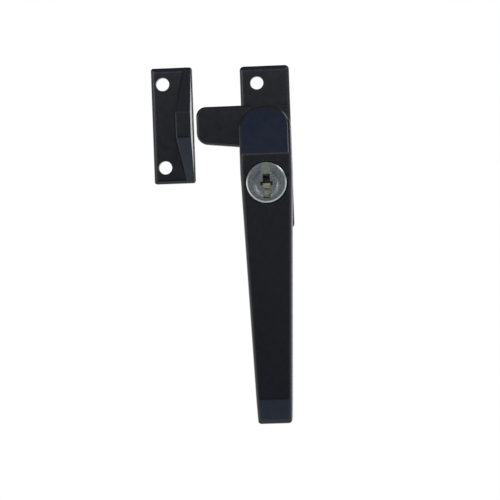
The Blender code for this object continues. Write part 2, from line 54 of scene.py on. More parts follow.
print("frame loaded,", len(frame["nodes"]), "nodes")


# outlines are (x, z) points, and depth is the distance in front of the window frame

def extentOf(node):
    low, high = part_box(node)
    return {
        "left": low.x, "right": high.x, "bottom": low.z, "top": high.z,
        "back": -high.y, "front": -low.y,
        "midX": (low.x + high.x) / 2, "midZ": (low.z + high.z) / 2,
    }


def roundedOutline(corners, steps=12):
    # arcs in the corners, from (x, z, radius) going round once
    points = []
    for i, (x, z, radius) in enumerate(corners):
        here = Vector((x, z))
        if radius <= 0:
            points.append(here)
            continue
        before = (Vector(corners[i - 1][:2]) - here).normalized()
        after = (Vector(corners[(i + 1) % len(corners)][:2]) - here).normalized()
        half = before.angle(after) / 2
        centre = here + (before + after).normalized() * (radius / math.sin(half))
        first = here + before * (radius / math.tan(half)) - centre
        last = here + after * (radius / math.tan(half)) - centre
        turn = first.angle_signed(last)
        for step in range(steps + 1):
            points.append(centre + Matrix.Rotation(-turn * step / steps, 2) @ first)
    return points


def boxOutline(left, right, bottom, top, radius=0.0, steps=8):
    corners = [(left, bottom), (right, bottom), (right, top), (left, top)]
    return roundedOutline([(x, z, radius) for x, z in corners], steps)


def discOutline(radius, z, steps=96):
    turns = [2 * math.pi * i / steps for i in range(steps)]
    return [(radius * math.cos(a), z + radius * math.sin(a)) for a in turns]


def quarterRound(inset, drop, steps=8):
    # (inset, drop) pairs that go from the side wall over a soft edge to the flat front
    turns = [math.pi / 2 * i / steps for i in range(steps + 1)]
    return [(inset * (1 - math.cos(a)), drop * (1 - math.sin(a))) for a in turns]


def objectFrom(name, bm):
    bmesh.ops.remove_doubles(bm, verts=bm.verts, dist=1e-7)
    bmesh.ops.recalc_face_normals(bm, faces=bm.faces)
    mesh = bpy.data.meshes.new(name)
    bm.to_mesh(mesh)
    bm.free()
    thing = bpy.data.objects.new(name, mesh)
    bpy.context.scene.collection.objects.link(thing)
    return thing


def loft(name, rings, ladder=False):
    # skins rings of the same length; ladder closes a symmetric ring with rungs from side to side
    bm = bmesh.new()
    loops = [[bm.verts.new(point) for point in ring] for ring in rings]
    for one, other in zip(loops, loops[1:]):
        for i in range(len(one)):
            bm.faces.new((one[i - 1], one[i], other[i], other[i - 1]))
    for loop in (loops[0], loops[-1]):
        if not ladder:
            bm.faces.new(loop)
            continue
        last = len(loop) - 1
        for i in range(len(loop) // 2 - 1):
            bm.faces.new((loop[i], loop[i + 1], loop[last - i - 1], loop[last - i]))
    return objectFrom(name, bm)


def block(name, outline, back, front):
    return loft(name, [[(x, -depth, z) for x, z in outline] for depth in (back, front)])


def turned(name, profile, x=0.0, z=0.0, steps=96, closed=False):
    # a lathe about the line through (x, z) along Y, from (radius, depth) points
    # points on the line itself only mark where the flat ends are
    bm = bmesh.new()
    turns = [2 * math.pi * i / steps for i in range(steps)]
    rings = []
    for radius, depth in profile:
        if radius > 0:
            rings.append([bm.verts.new((x + radius * math.cos(a), -depth, z + radius * math.sin(a)))
                          for a in turns])
    for one, other in zip(rings, rings[1:] + rings[:1] if closed else rings[1:]):
        for i in range(steps):
            bm.faces.new((one[i - 1], one[i], other[i], other[i - 1]))
    if not closed:
        bm.faces.new(rings[0])
        bm.faces.new(rings[-1])
    return objectFrom(name, bm)


def settle(thing):
    # the mesh as its modifiers leave it
    bpy.context.view_layer.update()
    ready = thing.evaluated_get(bpy.context.evaluated_depsgraph_get())
    mesh = bpy.data.meshes.new_from_object(ready)
    old = thing.data
    thing.modifiers.clear()
    thing.data = mesh
    mesh.name = old.name
    bpy.data.meshes.remove(old)


def combine(target, others, operation):
    for other in others:
        change = target.modifiers.new(other.name, "BOOLEAN")
        change.operation = operation
        change.solver = "EXACT"
        change.object = other
    settle(target)
    for other in others:
        bpy.data.objects.remove(other)


def cut(target, *others):
    combine(target, others, "DIFFERENCE")


def join(target, *others):
    combine(target, others, "UNION")


def soften(thing, width):
    bevel = thing.modifiers.new("soft edges", "BEVEL")
    bevel.width = width
    bevel.segments = 2
    bevel.limit_method = "ANGLE"
    bevel.angle_limit = math.radians(35)
    settle(thing)


def shade(thing, angle=32):
    thing.data.shade_smooth()
    thing.data.set_sharp_from_angle(angle=math.radians(angle))
    weighted = thing.modifiers.new("even flats", "WEIGHTED_NORMAL")
    weighted.keep_sharp = True
    settle(thing)


def hand(thing, body, nodes, slotName, *finishes):
    if not thing.data.materials:
        for finish in finishes:
            thing.data.materials.append(finish)
    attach(thing, body)
    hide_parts(*nodes)


# materials

def newFinish(name, colour, roughness, metallic):
    material = bpy.data.materials.new(name)
    material.use_nodes = True
    shader = material.node_tree.nodes["Principled BSDF"]
    shader.inputs["Base Color"].default_value = (*colour, 1)
    shader.inputs["Roughness"].default_value = roughness
    shader.inputs["Metallic"].default_value = metallic
    material.diffuse_color = (*colour, 1)
    return material, material.node_tree, shader


def noiseOn(tree, scale, detail=3, rough=0.5, stretch=(1, 1, 1)):
    # noise in the object's own metres, stretched along the axes if asked
    nodes, links = tree.nodes, tree.links
    coordinates = nodes.new("ShaderNodeTexCoord")
    mapping = nodes.new("ShaderNodeMapping")
    mapping.inputs["Scale"].default_value = stretch
    noise = nodes.new("ShaderNodeTexNoise")
    noise.inputs["Scale"].default_value = scale
    noise.inputs["Detail"].default_value = detail
    noise.inputs["Roughness"].default_value = rough
    links.new(coordinates.outputs["Object"], mapping.inputs["Vector"])
    links.new(mapping.outputs["Vector"], noise.inputs["Vector"])
    return noise.outputs["Fac"]


def rangeOf(tree, value, low, high, start=0.3, stop=0.7):
    ranged = tree.nodes.new("ShaderNodeMapRange")
    ranged.inputs["From Min"].default_value = start
    ranged.inputs["From Max"].default_value = stop
    ranged.inputs["To Min"].default_value = low
    ranged.inputs["To Max"].default_value = high
    tree.links.new(value, ranged.inputs["Value"])
    return ranged.outputs["Result"]


def blendOf(tree, value, one, other, kind="MIX"):
    # each end is a colour or another node's socket
    mix = tree.nodes.new("ShaderNodeMix")
    mix.data_type = "RGBA"
    mix.blend_type = kind
    for name, end in (("A", one), ("B", other)):
        if isinstance(end, tuple):
            mix.inputs[name].default_value = (*end, 1)
        else:
            tree.links.new(end, mix.inputs[name])
    tree.links.new(value, mix.inputs["Factor"])
    return mix.outputs["Result"]


def bumpFrom(tree, height, distance, normal=None):
    bump = tree.nodes.new("ShaderNodeBump")
    bump.inputs["Distance"].default_value = distance
    tree.links.new(height, bump.inputs["Height"])
    if normal:
        tree.links.new(normal, bump.inputs["Normal"])
    return bump.outputs["Normal"]


def blackPaint():
    look = {
        "dark": (0.0036, 0.0041, 0.0056), "light": (0.0046, 0.0052, 0.0070),
        "roughness": (0.19, 0.26), "peelScale": 1100, "peelDistance": 3e-6,
        "grainScale": 6000, "grainDistance": 4e-7,
    }
    material, tree, shader = newFinish("black_paint", look["dark"], 0.3, 0.0)
    tint = blendOf(tree, rangeOf(tree, noiseOn(tree, 140, 4), 0, 1), look["dark"], look["light"])
    tree.links.new(tint, shader.inputs["Base Color"])
    tree.links.new(rangeOf(tree, noiseOn(tree, 420, 3), *look["roughness"]), shader.inputs["Roughness"])
    peel = bumpFrom(tree, noiseOn(tree, look["peelScale"], 2), look["peelDistance"])
    grain = bumpFrom(tree, noiseOn(tree, look["grainScale"], 2), look["grainDistance"], peel)
    tree.links.new(grain, shader.inputs["Normal"])
    return material


def distanceFrom(tree, axis):
    # how far a point is from a line along Y through (x, z)
    place = tree.nodes.new("ShaderNodeTexCoord")
    flat = tree.nodes.new("ShaderNodeVectorMath")
    flat.operation = "MULTIPLY_ADD"
    flat.inputs[1].default_value = (1, 0, 1)
    flat.inputs[2].default_value = (-axis[0], 0, -axis[1])
    length = tree.nodes.new("ShaderNodeVectorMath")
    length.operation = "LENGTH"
    tree.links.new(place.outputs["Object"], flat.inputs[0])
    tree.links.new(flat.outputs["Vector"], length.inputs[0])
    return length.outputs["Value"]


def satinNickel():
    # satin on the flat, with a painted highlight: the base colour brightens along the rim's chamfer
    look = {"dark": (0.215, 0.235, 0.215), "light": (0.28, 0.30, 0.275), "paintedLight": (0.50, 0.53, 0.50),
            "rim": (7.0 * mm, 7.35 * mm), "roughness": (0.24, 0.32)}
    material, tree, shader = newFinish("nickel", look["light"], 0.3, 1.0)
    streaks = noiseOn(tree, 1700, 4, 0.5, (0.5, 1, 1.6))
    satin = blendOf(tree, rangeOf(tree, streaks, 0, 1), look["dark"], look["light"])
    # the rim's lighter base colour is a painted highlight on the face's chamfer
    rimHighlight = rangeOf(tree, distanceFrom(tree, (0, lockZ)), 0, 1, *look["rim"])
    tree.links.new(blendOf(tree, rimHighlight, satin, look["paintedLight"]), shader.inputs["Base Color"])
    tree.links.new(rangeOf(tree, streaks, *look["roughness"]), shader.inputs["Roughness"])
    tree.links.new(bumpFrom(tree, streaks, 1e-6), shader.inputs["Normal"])
    return material


def cutBrass():
    # scratched across, and darker outside the keyway's width: a painted shade where the wafers sit in the
    # plug's slots
    look = {"dark": (0.14, 0.135, 0.075), "light": (0.60, 0.57, 0.36), "paintedShade": (0.08, 0.075, 0.05),
            "paintedLight": (1.35 * mm, 1.45 * mm), "roughness": (0.45, 0.60)}
    material, tree, shader = newFinish("brass", look["light"], 0.5, 1.0)
    wear = noiseOn(tree, 1500, 4, 0.6, (0.3, 1, 1))
    bright = blendOf(tree, rangeOf(tree, wear, 0, 1, 0.36, 0.58), look["dark"], look["light"])
    place = tree.nodes.new("ShaderNodeTexCoord")
    split = tree.nodes.new("ShaderNodeSeparateXYZ")
    across = tree.nodes.new("ShaderNodeMath")
    across.operation = "ABSOLUTE"
    tree.links.new(place.outputs["Object"], split.inputs["Vector"])
    tree.links.new(split.outputs["X"], across.inputs[0])
    # past the keyway's width the brass turns darker: a painted shade inside the plug's slots
    beside = rangeOf(tree, across.outputs[0], 0, 1, *look["paintedLight"])
    tree.links.new(blendOf(tree, beside, bright, look["paintedShade"]), shader.inputs["Base Color"])
    tree.links.new(rangeOf(tree, wear, *look["roughness"]), shader.inputs["Roughness"])
    tree.links.new(bumpFrom(tree, noiseOn(tree, 6000, 3, 0.5, (1, 0.1, 1)), 3e-6), shader.inputs["Normal"])
    return material


def platedSteel():
    look = {"dark": (0.42, 0.43, 0.44), "light": (0.60, 0.61, 0.62), "roughness": (0.3, 0.42)}
    material, tree, shader = newFinish("plated_steel", look["light"], 0.35, 1.0)
    cloud = noiseOn(tree, 700, 5, 0.55)
    tree.links.new(blendOf(tree, rangeOf(tree, cloud, 0, 1), look["dark"], look["light"]),
                   shader.inputs["Base Color"])
    tree.links.new(rangeOf(tree, cloud, *look["roughness"]), shader.inputs["Roughness"])
    tree.links.new(bumpFrom(tree, noiseOn(tree, 4000, 3), 2e-6), shader.inputs["Normal"])
    return material


def whiteNylon():
    look = {"dark": (0.62, 0.60, 0.55), "light": (0.74, 0.73, 0.69)}
    material, tree, shader = newFinish("nylon", look["light"], 0.5, 0.0)
    cloud = noiseOn(tree, 500, 4)
    tree.links.new(blendOf(tree, rangeOf(tree, cloud, 0, 1), look["dark"], look["light"]),
                   shader.inputs["Base Color"])
    tree.links.new(rangeOf(tree, cloud, 0.42, 0.56), shader.inputs["Roughness"])
    tree.links.new(bumpFrom(tree, noiseOn(tree, 3000, 3), 4e-6), shader.inputs["Normal"])
    return material


def openedBrass(name, dark, light):
    # brass that a cutter laid bare in the plated plug
    material, tree, shader = newFinish(name, dark, 0.45, 1.0)
    stain = noiseOn(tree, 2200, 5, 0.6)
    tree.links.new(blendOf(tree, rangeOf(tree, stain, 0, 1), dark, light), shader.inputs["Base Color"])
    tree.links.new(rangeOf(tree, stain, 0.55, 0.35), shader.inputs["Roughness"])
    tree.links.new(bumpFrom(tree, stain, 4e-6), shader.inputs["Normal"])
    return material


paint = blackPaint()
nickel = satinNickel()
brass = cutBrass()
steel = platedSteel()
nylon = whiteNylon()
channelBrass = openedBrass("channel_brass", (0.16, 0.185, 0.145), (0.36, 0.39, 0.31))
# a darker copy of the opened brass: painted shade inside the keyway, bolt bore, helix, slots and pockets
shadedKeywayBrass = openedBrass("keyway_brass_painted_shade", (0.09, 0.088, 0.07), (0.19, 0.185, 0.15))
print("materials ready")


# base plate and striker

def fixingCutter(name, radius, edgeBreak, front, x, z):
    profile = [(radius, -past), (radius, front - edgeBreak)]
    for i in range(1, 5):
        turn = math.pi / 2 * i / 4
        profile.append((radius + edgeBreak * (1 - math.cos(turn)), front - edgeBreak * (1 - math.sin(turn))))
    profile.append((radius + edgeBreak, front + past))
    return turned(name, profile, x, z)


def plateBody(name, sides, size):
    # a flat plate with round corners and a soft front edge
    rows = [(size["backEdge"], 0), (0, size["backEdge"])]
    for inset, drop in quarterRound(size["edge"], size["edgeDrop"]):
        rows.append((inset, size["thickness"] - drop))
    rings = []
    for inset, depth in rows:
        corner = max(size["corner"] - inset, 0.25 * mm)
        outline = boxOutline(sides["left"] + inset, sides["right"] - inset,
                             sides["bottom"] + inset, sides["top"] - inset, corner)
        rings.append([(x, -depth, z) for x, z in outline])
    return loft(name, rings)


baseSize = {
    "thickness": 3.0 * mm, "corner": 1.6 * mm, "backEdge": 0.2 * mm,
    "edge": 2.0 * mm, "edgeDrop": 0.9 * mm,
    "bossRadius": 6.4 * mm, "bossEdge": 0.3 * mm, "boreRadius": 3.15 * mm,
    "counterbore": 4.7 * mm, "counterboreDepth": 3.5 * mm,
    "keeperRadius": 2.7 * mm, "keeperEdge": 0.2 * mm,
    "holeRadius": 2.55 * mm, "holeEdge": 0.4 * mm, "holeX": -3.1 * mm, "holeSpacing": 50.8 * mm,
}


def makeBase(size):
    sides = extentOf("base_plate")
    plate = plateBody("basePlate", sides, size)
    bossEdge = size["bossEdge"]
    boss = turned("boss", [
        (size["bossRadius"] + bossEdge, size["thickness"] / 2),
        (size["bossRadius"] + bossEdge, size["thickness"]),
        (size["bossRadius"], size["thickness"] + bossEdge),
        (size["bossRadius"], sides["front"] - bossEdge / 2),
        (size["bossRadius"] - bossEdge / 2, sides["front"]),
    ], z=pivotZ)
    join(plate, boss)
    bore = turned("bore", [
        (size["counterbore"], -past), (size["counterbore"], size["counterboreDepth"]),
        (size["boreRadius"], size["counterboreDepth"]), (size["boreRadius"], sides["front"] + past),
    ], z=pivotZ)
    keeper = fixingCutter("keeper", size["keeperRadius"], size["keeperEdge"], size["thickness"], 0, lockZ)
    holes = [
        fixingCutter("fixing", size["holeRadius"], size["holeEdge"], size["thickness"],
                     size["holeX"], side * size["holeSpacing"] / 2)
        for side in (1, -1)
    ]
    cut(plate, bore, keeper, *holes)
    shade(plate)
    hand(plate, "base", ["base_plate"], "black_paint", paint)


makeBase(baseSize)
print("base plate made")

strikerSize = {
    "thickness": 3.0 * mm, "corner": 1.0 * mm, "backEdge": 0.2 * mm,
    "edge": 2.0 * mm, "edgeDrop": 0.8 * mm,
    "holeRadius": 2.6 * mm, "holeEdge": 0.4 * mm, "holeIn": 4.5 * mm, "holeSpacing": 32.9 * mm,
    "wedgeInset": 0.1 * mm, "wedgeEndInset": 0.35 * mm, "wedgeWidth": 7.5 * mm,
    "wedgeEndWidth": 3.2 * mm, "plateau": 9.8 * mm, "leftLean": 1.05 * mm,
    "draft": math.radians(5), "wedgeEdge": 0.35 * mm,
    "wall": 1.8 * mm, "coreCorner": 0.5 * mm,
}


def makeWedge(sides, size):
    foot = size["thickness"] / 2
    face = size["thickness"]
    top = sides["front"]
    lean = math.tan(size["draft"])
    right = sides["right"] - size["wedgeInset"]
    left = right - size["wedgeWidth"]
    points = []
    for z in (sides["midZ"] - size["plateau"] / 2, sides["midZ"] + size["plateau"] / 2):
        points += [(left + size["leftLean"], top, z), (right - top * lean, top, z),
                   (left, face, z), (left, foot, z)]
    for z in (sides["bottom"] + size["wedgeEndInset"], sides["top"] - size["wedgeEndInset"]):
        for depth in (foot, face):
            points += [(right - size["wedgeEndWidth"], depth, z), (right - depth * lean, depth, z)]
    bm = bmesh.new()
    for x, depth, z in points:
        bm.verts.new((x, -depth, z))
    bmesh.ops.convex_hull(bm, input=bm.verts)
    loose = [vert for vert in bm.verts if not vert.link_faces]
    bmesh.ops.delete(bm, geom=loose, context="VERTS")
    bmesh.ops.dissolve_limit(bm, angle_limit=math.radians(0.5), verts=bm.verts, edges=bm.edges)
    raised = [edge for edge in bm.edges if min(-vert.co.y for vert in edge.verts) > foot + 1e-6
              or max(-vert.co.y for vert in edge.verts) > top - 1e-6]
    bmesh.ops.bevel(bm, geom=raised, offset=size["wedgeEdge"], offset_type="OFFSET", segments=4,
                    profile=0.5, affect="EDGES", clamp_overlap=True)
    return objectFrom("wedge", bm), left, right


def makeStriker(size):
    sides = extentOf("striker_plate")
    plate = plateBody("strikerPlate", sides, size)
    wedge, left, right = makeWedge(sides, size)
    join(plate, wedge)
    half = size["plateau"] / 2
    core = boxOutline(left + size["leftLean"] + size["wall"],
                      right - (sides["front"] - size["thickness"]) * math.tan(size["draft"]) - size["wall"],
                      sides["midZ"] - half, sides["midZ"] + half, size["coreCorner"])
    holes = [
        fixingCutter("hole", size["holeRadius"], size["holeEdge"], size["thickness"],
                     sides["left"] + size["holeIn"], sides["midZ"] + side * size["holeSpacing"] / 2)
        for side in (1, -1)
    ]
    cut(plate, block("core", core, -past, sides["front"] - size["wall"]), *holes)
    shade(plate)
    hand(plate, "base", ["striker_plate"], "black_paint", paint)


makeStriker(strikerSize)
print("striker made")


# lever and tongue

leverSize = {
    "tipHalf": 6.65 * mm, "shoulderDrop": 17.5 * mm, "draft": 0.11 * mm, "tongueGap": 0.3 * mm,
    "headCorner": 8.7 * mm, "tipCorner": 1.4 * mm, "backEdge": 0.3 * mm,
    "edge": 1.6 * mm, "edgeDrop": 1.4 * mm,
    "upperCrease": 10.3 * mm, "upperSlope": math.radians(9),
    "lowerCrease": 9.8 * mm, "lowerSlope": math.radians(10), "creaseSoft": 0.5 * mm,
    "boreRadius": 8.05 * mm, "boreEdge": 0.22 * mm,
    "towerRadius": 9.3 * mm, "towerBack": 7.7 * mm, "spigotHalf": 4.3 * mm, "spigotBack": 7.8 * mm,
    "rivetHole": 3.15 * mm, "rivetDepth": 18.3 * mm,
    "coreTop": 44.25 * mm, "coreTopHalf": 6.69 * mm, "coreBottom": 2.3 * mm, "coreBottomHalf": 4.35 * mm,
    "coreTopCorner": 2 * mm, "coreBottomCorner": 1 * mm, "coreDepth": 19.97 * mm,
}


def leverFront(size, sides, z):
    # depth of the front at a height: three flats that meet in two soft creases
    creases = (
        (z - (pivotZ - size["upperCrease"]), size["upperSlope"]),
        (sides["bottom"] + size["lowerCrease"] - z, size["lowerSlope"]),
    )
    depth = sides["front"]
    soft = size["creaseSoft"]
    for past, slope in creases:
        if past > soft:
            depth -= past * math.tan(slope)
        elif past > -soft:
            depth -= (past + soft) ** 2 / (4 * soft) * math.tan(slope)
    return depth


def leverHalf(size, sides, inset):
    # right half of the outline from the top to the tip
    half = sides["right"] - inset
    tip = size["tipHalf"] - inset
    top = sides["top"]
    head = size["headCorner"]
    shoulder = pivotZ - size["shoulderDrop"]
    points = []
    for step in range(25):
        turn = math.pi / 2 * (1 - step / 24)
        points.append((sides["right"] - head + (head - inset) * math.cos(turn),
                       top - head + (head - inset) * math.sin(turn)))
    soft = size["creaseSoft"]
    upper = pivotZ - size["upperCrease"]
    lower = sides["bottom"] + size["lowerCrease"]
    heights = [upper + 2 * mm] + [upper + soft * (1 - i / 4) for i in range(9)]
    heights += [upper - 3 * mm, shoulder + 1 * mm, shoulder]
    heights += [shoulder - 4 * mm * i for i in range(1, 21)]
    heights += [lower + 2 * mm] + [lower + soft * (1 - i / 4) for i in range(9)] + [lower - 2 * mm]
    for z in heights:
        share = max(shoulder - z, 0) / (shoulder - sides["bottom"])
        points.append((half + (tip - half) * share, z))
    corner = max(size["tipCorner"] - inset / 2, 0.25 * mm)
    low = sides["bottom"] + inset
    for step in range(9):
        turn = -math.pi / 2 * step / 8
        points.append((tip - corner + corner * math.cos(turn), low + corner + corner * math.sin(turn)))
    return points


def leverRing(size, sides, inset, depthAt):
    right = leverHalf(size, sides, inset)
    ring = [(x, -depthAt(z), z) for x, z in right]
    return ring + [(-x, y, z) for x, y, z in reversed(ring)]


def makeLever(size):
    sides = extentOf("lever_handle")
    front = sides["front"]
    back = extentOf("spur_tongue")["front"] + size["tongueGap"]
    edge = size["backEdge"]
    rings = []
    for share in (0, 0.25, 0.5, 0.75, 1):
        turn = math.pi / 2 * share
        depth = back + edge * (1 - math.cos(turn))
        rings.append(leverRing(size, sides, edge * (1 - math.sin(turn)), lambda z: depth))
    for inset, drop in quarterRound(size["edge"], size["edgeDrop"], 10):
        rings.append(leverRing(size, sides, inset + size["draft"],
                               lambda z: leverFront(size, sides, z) - drop))
    lever = loft("leverHandle", rings, ladder=True)
    sunk = back + 2 * mm             # deep enough into the solid head to become one piece with it
    spigot = boxOutline(-size["spigotHalf"], size["spigotHalf"],
                        pivotZ - size["spigotHalf"], pivotZ + size["spigotHalf"], 0.4 * mm, 4)
    join(lever,
         block("tower", discOutline(size["towerRadius"], lockZ), size["towerBack"], sunk),
         block("spigot", spigot, size["spigotBack"], sunk))
    bore = size["boreRadius"]
    boreProfile = [
        (bore, size["towerBack"] - past), (bore, front - size["boreEdge"]),
        (bore + size["boreEdge"], front), (bore + size["boreEdge"] + past, front + past),
    ]
    low = sides["bottom"] + size["coreBottom"]
    high = pivotZ - size["coreTop"]
    core = roundedOutline([
        (-size["coreTopHalf"], high, size["coreTopCorner"]),
        (-size["coreBottomHalf"], low, size["coreBottomCorner"]),
        (size["coreBottomHalf"], low, size["coreBottomCorner"]),
        (size["coreTopHalf"], high, size["coreTopCorner"])], 6)
    rivetHole = discOutline(size["rivetHole"], pivotZ)
    cut(lever,
        block("core", core, back - past, size["coreDepth"]),
        turned("lockBore", boreProfile, z=lockZ),
        block("rivetHole", rivetHole, size["spigotBack"] - past, size["rivetDepth"]))
    shade(lever)
    hand(lever, "handle", ["lever_handle"], "black_paint", paint)


makeLever(leverSize)
print("lever made")

tongueSize = {
    "abovePivot": 9.45 * mm, "tipBelowPivot": 4.8 * mm, "shoulder": 6.0 * mm, "shoulderCorner": 2.5 * mm,
    "topCorner": 3.8 * mm, "bottomCorner": 4.4 * mm, "edge": 1.1 * mm, "holeHalf": 4.6 * mm,
}


def insetOutline(points, distance):
    # a convex outline drawn in, each point along the middle of its corner
    moved = []
    for i, point in enumerate(points):
        before = (point - points[i - 1]).normalized()
        after = (points[(i + 1) % len(points)] - point).normalized()
        middle = (before + after).normalized()
        stretch = max(middle.dot(after), 0.5)
        moved.append(point + Vector((middle.y, -middle.x)) * (distance / stretch))
    return moved


def makeTongue(size):
    sides = extentOf("spur_tongue")
    eye = sides["right"]
    corners = [
        (sides["left"], pivotZ - size["tipBelowPivot"], size["bottomCorner"]),
        (sides["left"], pivotZ + size["abovePivot"], size["topCorner"]),
        (-size["shoulder"], pivotZ + size["abovePivot"], size["shoulderCorner"]),
    ]
    for step in range(33):
        turn = math.pi / 2 - math.pi * step / 32
        corners.append((eye * math.cos(turn), pivotZ + eye * math.sin(turn), 0))
    outline = roundedOutline(corners, 14)
    soft = quarterRound(size["edge"], size["edge"])
    rows = [(inset, sides["back"] + drop) for inset, drop in reversed(soft)]
    rows += [(inset, sides["front"] - drop) for inset, drop in soft]
    rings = []
    for inset, depth in rows:
        rings.append([(point.x, -depth, point.y) for point in insetOutline(outline, inset)])
    tongue = loft("spurTongue", rings)
    half = size["holeHalf"]
    hole = boxOutline(-half, half, pivotZ - half, pivotZ + half, 0.2 * mm, 3)
    cut(tongue, block("square", hole, sides["back"] - past, sides["front"] + past))
    shade(tongue)
    hand(tongue, "handle", ["spur_tongue"], "black_paint", paint)


makeTongue(tongueSize)
print("tongue made")


# pivot hardware

washerSize = {"bore": 3.3 * mm, "edge": 0.06 * mm, "waveEdge": 0.05 * mm, "wave": 0.2 * mm}


def makeWasher(name, node, slotName, finish, size, wave=0.0):
    # a turned ring with softened edges, waved three times round if asked
    sides = extentOf(node)
    inner = size["bore"]
    edge = size["waveEdge"] if wave else size["edge"]
    outer = (sides["right"] - sides["left"]) / 2
    back, front = sides["back"] + wave, sides["front"] - wave
    profile = roundedOutline([(inner, back, edge), (outer, back, edge),
                              (outer, front, edge), (inner, front, edge)], 4)
    ring = turned(name, profile, z=sides["midZ"], closed=True)
    for vert in ring.data.vertices:
        around = math.atan2(vert.co.z - sides["midZ"], vert.co.x)
        vert.co.y -= wave * math.sin(3 * around)
    shade(ring)
    hand(ring, "base", [node], slotName, finish)


rivetSize = {
    "shank": 3.0 * mm, "headDepth": 1.0 * mm, "edge": 0.35 * mm,
    "dimple": 1.3 * mm, "dimpleFloor": 0.78 * mm, "dimpleDepth": 0.2 * mm,
}


def makeRivet(size):
    sides = extentOf("pivot_rivet")
    head = (sides["right"] - sides["left"]) / 2
    back, front = sides["back"], sides["front"]
    under = back + size["headDepth"]
    floor = back + size["dimpleDepth"]
    profile = roundedOutline([
        (0, floor, 0), (size["dimpleFloor"], floor, 0.1 * mm), (size["dimple"], back, 0.1 * mm),
        (head, back, size["edge"]), (head, under, 0.08 * mm), (size["shank"], under, 0.08 * mm),
        (size["shank"], front, size["edge"]), (0, front, 0),
    ], 5)
    rivet = turned("pivotRivet", profile, z=pivotZ)
    shade(rivet)
    hand(rivet, "handle", ["pivot_rivet"], "plated_steel", steel)


makeWasher("bearingWasher", "bearing_washer", "nylon", nylon, washerSize)
makeWasher("backingWasher", "backing_washer", "plated_steel", steel, washerSize)
makeWasher("waveWasher", "wave_washer", "plated_steel", steel, washerSize, washerSize["wave"])
makeRivet(rivetSize)
print("pivot hardware made")


# lock

pinSize = {"radius": 0.7 * mm, "depth": 13.6 * mm, "edge": 0.15 * mm}
waferSlotHalf = 2.8 * mm             # shared by the plug's slots and the barrel's broach

plugSize = {
    "rotor": 6.2 * mm, "neck": 5.6 * mm, "faceThickness": 1.4 * mm, "rim": 0.65 * mm, "rimDrop": 0.4 * mm,
    "dish": 5.4 * mm, "dishFloor": 4.0 * mm, "dishDepth": 0.45 * mm, "dishDrop": 0.3 * mm,
    "keyHalf": 1.35 * mm, "keyAbove": 3.25 * mm, "keyBelow": 5.95 * mm, "keyEnd": 15.8 * mm,
    "wardHalf": 2.35 * mm, "wardBottom": -1.1 * mm, "wardTop": 0.4 * mm,
    "channelHalf": 1.95 * mm, "channelDepth": 0.5 * mm,
    "boltBore": 2.7 * mm, "boltPlay": 0.3 * mm, "slotPlay": 0.2 * mm,
    "pocketInner": 2.5 * mm, "pocketOuter": 4.8 * mm, "pocketBottom": -3.7 * mm, "pocketTop": 1.8 * mm,
    "pocketHalf": 0.77 * mm,
}


plugFinishes = (nickel, channelBrass, shadedKeywayBrass)


def leaving(finish, *things):
    # a list of cutters that leave this finish where they cut the plated plug
    for thing in things:
        for each in plugFinishes:
            thing.data.materials.append(each)
        for face in thing.data.polygons:
            face.material_index = plugFinishes.index(finish)
    return list(things)


def helixCutter(rotor, pin):
    # the slot that pushes the guide pin along as the plug turns
    inner, outer = 2.25 * mm, rotor + 0.3 * mm
    half = pin["radius"] + 0.5 * mm
    spare = math.radians(20)
    steps = 36
    rings = []
    for step in range(steps + 1):
        turn = -spare + (math.pi / 2 + 2 * spare) * step / steps
        share = min(max(turn / (math.pi / 2), 0), 1)
        middle = pin["depth"] - boltTravel * share
        rings.append([
            (radius * math.cos(turn), -(middle + deep), lockZ + radius * math.sin(turn))
            for radius, deep in ((inner, -half), (outer, -half), (outer, half), (inner, half))
        ])
    return loft("helix", rings)


